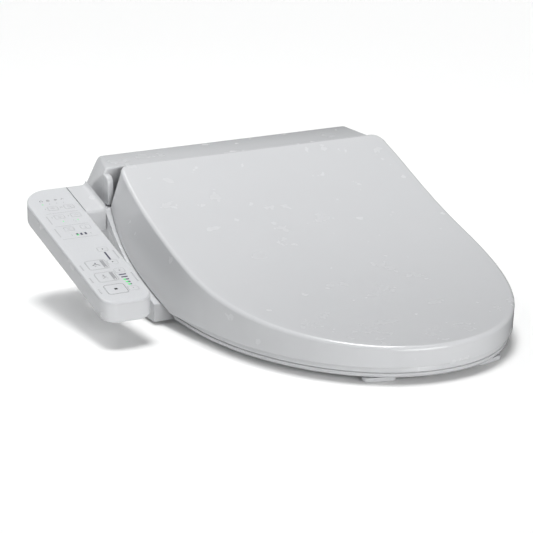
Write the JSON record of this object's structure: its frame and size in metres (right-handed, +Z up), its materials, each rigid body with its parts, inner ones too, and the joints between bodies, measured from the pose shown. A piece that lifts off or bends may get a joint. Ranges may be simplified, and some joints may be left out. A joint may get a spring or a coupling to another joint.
{
  "type": "electric bidet seat",
  "caption": "Electric bidet toilet seat with sloping lid over a heated ring seat, wash unit at the rear with retracting wand, and a control arm at the side.",
  "frame": {"origin": "on the underside of the base plate, on the centre line, 110 mm in front of the rear face of the unit; this is the plane of the bowl rim", "axes": "+Z up, -Y towards the front of the bowl (the tip of the lid), -X towards the control arm"},
  "size_m": [0.4691, 0.5278, 0.1476],
  "materials": {
    "shell": "glossy moulded white plastic",
    "panel": "satin printed panel",
    "inner": "satin white plastic",
    "grey": "satin grey plastic",
    "dark": "satin black plastic",
    "rubber": "matte soft rubber",
    "steel": "brushed",
    "brass": "machined",
    "board": "solder mask",
    "foil": "foil"
  },
  "bodies": {
    "base": {"base_plate": "steel", "bolt_adjuster_l": "grey", "bolt_adjuster_r": "grey"},
    "unit": {"base_case": "shell", "top_cover": "shell", "arm_case": "shell", "arm_deck": "shell", "panel_overlay": "panel", "panel_board": "board", "main_board": "board", "power_module": "dark", "heat_exchanger": "inner", "solenoid_valve": "grey", "flow_valve": "grey", "water_inlet": "brass", "strainer_plug": "grey", "cord_gland": "dark", "wand_cradle": "grey", "wand_motor": "grey", "fan_housing": "grey", "fan_motor": "grey", "lid_damper": "grey", "seat_damper": "grey", "hinge_pin_l": "steel", "hinge_pin_r": "steel"},
    "seat": {"seat_top_shell": "shell", "seat_bottom_shell": "shell", "seat_heater": "foil", "seat_bumper_fl": "rubber", "seat_bumper_fr": "rubber", "seat_bumper_rl": "rubber", "seat_bumper_rr": "rubber"},
    "lid": {"lid_shell": "shell", "lid_bumper_fl": "rubber", "lid_bumper_fr": "rubber", "lid_bumper_rl": "rubber", "lid_bumper_rr": "rubber"},
    "wand": {"wand_tube": "inner", "nozzle_tip": "inner", "wand_shield": "inner"},
    "pinion": {"drive_pinion": "dark"},
    "fan": {"fan_wheel": "dark"},
    "filter": {"deodorizer_filter": "grey"},
    "release": {"release_button": "grey"},
    "switch_rear_wash_key": {"switch_rear_wash": "panel"},
    "switch_front_wash_key": {"switch_front_wash": "panel"},
    "switch_stop_key": {"switch_stop": "panel"},
    "switch_position_back_key": {"switch_position_back": "panel"},
    "switch_position_front_key": {"switch_position_front": "panel"},
    "switch_pressure_up_key": {"switch_pressure_up": "panel"},
    "switch_pressure_down_key": {"switch_pressure_down": "panel"},
    "switch_air_dry_key": {"switch_air_dry": "panel"},
    "switch_deodorizer_key": {"switch_deodorizer": "panel"},
    "switch_seat_heat_key": {"switch_seat_heat": "panel"},
    "switch_water_heat_key": {"switch_water_heat": "panel"},
    "switch_energy_saver_key": {"switch_energy_saver": "panel"},
    "switch_wand_clean_key": {"switch_wand_clean": "panel"}
  },
  "joints": [
    {"name": "detach_slide", "type": "slide", "parent": "base", "child": "unit", "axis": [0, -1, 0], "range_m": [0, 0.06]},
    {"name": "hinge_seat", "type": "hinge", "parent": "unit", "child": "seat", "pos_m": [0, 0.022, 0.13], "axis": [-1, 0, 0], "range_deg": [0, 100]},
    {"name": "hinge_lid", "type": "hinge", "parent": "seat", "child": "lid", "pos_m": [0, 0.022, 0.13], "axis": [1, 0, 0], "range_deg": [-97, 0]},
    {"name": "nozzle_extend", "type": "slide", "parent": "unit", "child": "wand", "axis": [0, -0.8829, -0.4695], "range_m": [0, 0.095]},
    {"name": "pinion_spin", "type": "hinge", "parent": "unit", "child": "pinion", "pos_m": [0, -0.08733, 0.05406], "axis": [-1, 0, 0], "range_deg": [0, 852]},
    {"name": "fan_spin", "type": "hinge", "parent": "unit", "child": "fan", "pos_m": [0.114, 0.073, 0.034], "axis": [1, 0, 0], "continuous": true},
    {"name": "filter_pull", "type": "slide", "parent": "unit", "child": "filter", "axis": [1, 0, 0], "range_m": [0, 0.055]},
    {"name": "button_release", "type": "slide", "parent": "unit", "child": "release", "axis": [-1, 0, 0], "range_m": [0, 0.003], "stiffness_N_per_m": 400, "springref_m": -0.0005},
    {"name": "press_switch_rear_wash", "type": "slide", "parent": "unit", "child": "switch_rear_wash_key", "axis": [0, 0, -1], "range_m": [0, 0.0008], "stiffness_N_per_m": 500, "springref_m": -0.0005},
    {"name": "press_switch_front_wash", "type": "slide", "parent": "unit", "child": "switch_front_wash_key", "axis": [0, 0, -1], "range_m": [0, 0.0008], "stiffness_N_per_m": 500, "springref_m": -0.0005},
    {"name": "press_switch_stop", "type": "slide", "parent": "unit", "child": "switch_stop_key", "axis": [0, 0, -1], "range_m": [0, 0.0008], "stiffness_N_per_m": 500, "springref_m": -0.0005},
    {"name": "press_switch_position_back", "type": "slide", "parent": "unit", "child": "switch_position_back_key", "axis": [0, 0, -1], "range_m": [0, 0.0005], "stiffness_N_per_m": 500, "springref_m": -0.0005},
    {"name": "press_switch_position_front", "type": "slide", "parent": "unit", "child": "switch_position_front_key", "axis": [0, 0, -1], "range_m": [0, 0.0005], "stiffness_N_per_m": 500, "springref_m": -0.0005},
    {"name": "press_switch_pressure_up", "type": "slide", "parent": "unit", "child": "switch_pressure_up_key", "axis": [0, 0, -1], "range_m": [0, 0.0005], "stiffness_N_per_m": 500, "springref_m": -0.0005},
    {"name": "press_switch_pressure_down", "type": "slide", "parent": "unit", "child": "switch_pressure_down_key", "axis": [0, 0, -1], "range_m": [0, 0.0005], "stiffness_N_per_m": 500, "springref_m": -0.0005},
    {"name": "press_switch_air_dry", "type": "slide", "parent": "unit", "child": "switch_air_dry_key", "axis": [0, 0, -1], "range_m": [0, 0.0005], "stiffness_N_per_m": 500, "springref_m": -0.0005},
    {"name": "press_switch_deodorizer", "type": "slide", "parent": "unit", "child": "switch_deodorizer_key", "axis": [0, 0, -1], "range_m": [0, 0.0005], "stiffness_N_per_m": 500, "springref_m": -0.0005},
    {"name": "press_switch_seat_heat", "type": "slide", "parent": "unit", "child": "switch_seat_heat_key", "axis": [0, 0, -1], "range_m": [0, 0.0005], "stiffness_N_per_m": 500, "springref_m": -0.0005},
    {"name": "press_switch_water_heat", "type": "slide", "parent": "unit", "child": "switch_water_heat_key", "axis": [0, 0, -1], "range_m": [0, 0.0005], "stiffness_N_per_m": 500, "springref_m": -0.0005},
    {"name": "press_switch_energy_saver", "type": "slide", "parent": "unit", "child": "switch_energy_saver_key", "axis": [0, 0, -1], "range_m": [0, 0.0005], "stiffness_N_per_m": 500, "springref_m": -0.0005},
    {"name": "press_switch_wand_clean", "type": "slide", "parent": "unit", "child": "switch_wand_clean_key", "axis": [0, 0, -1], "range_m": [0, 0.0005], "stiffness_N_per_m": 500, "springref_m": -0.0005}
  ],
  "couplings": [
    {"joint": "pinion_spin", "follows": "nozzle_extend", "rad_per_m": 156.25}
  ]
}
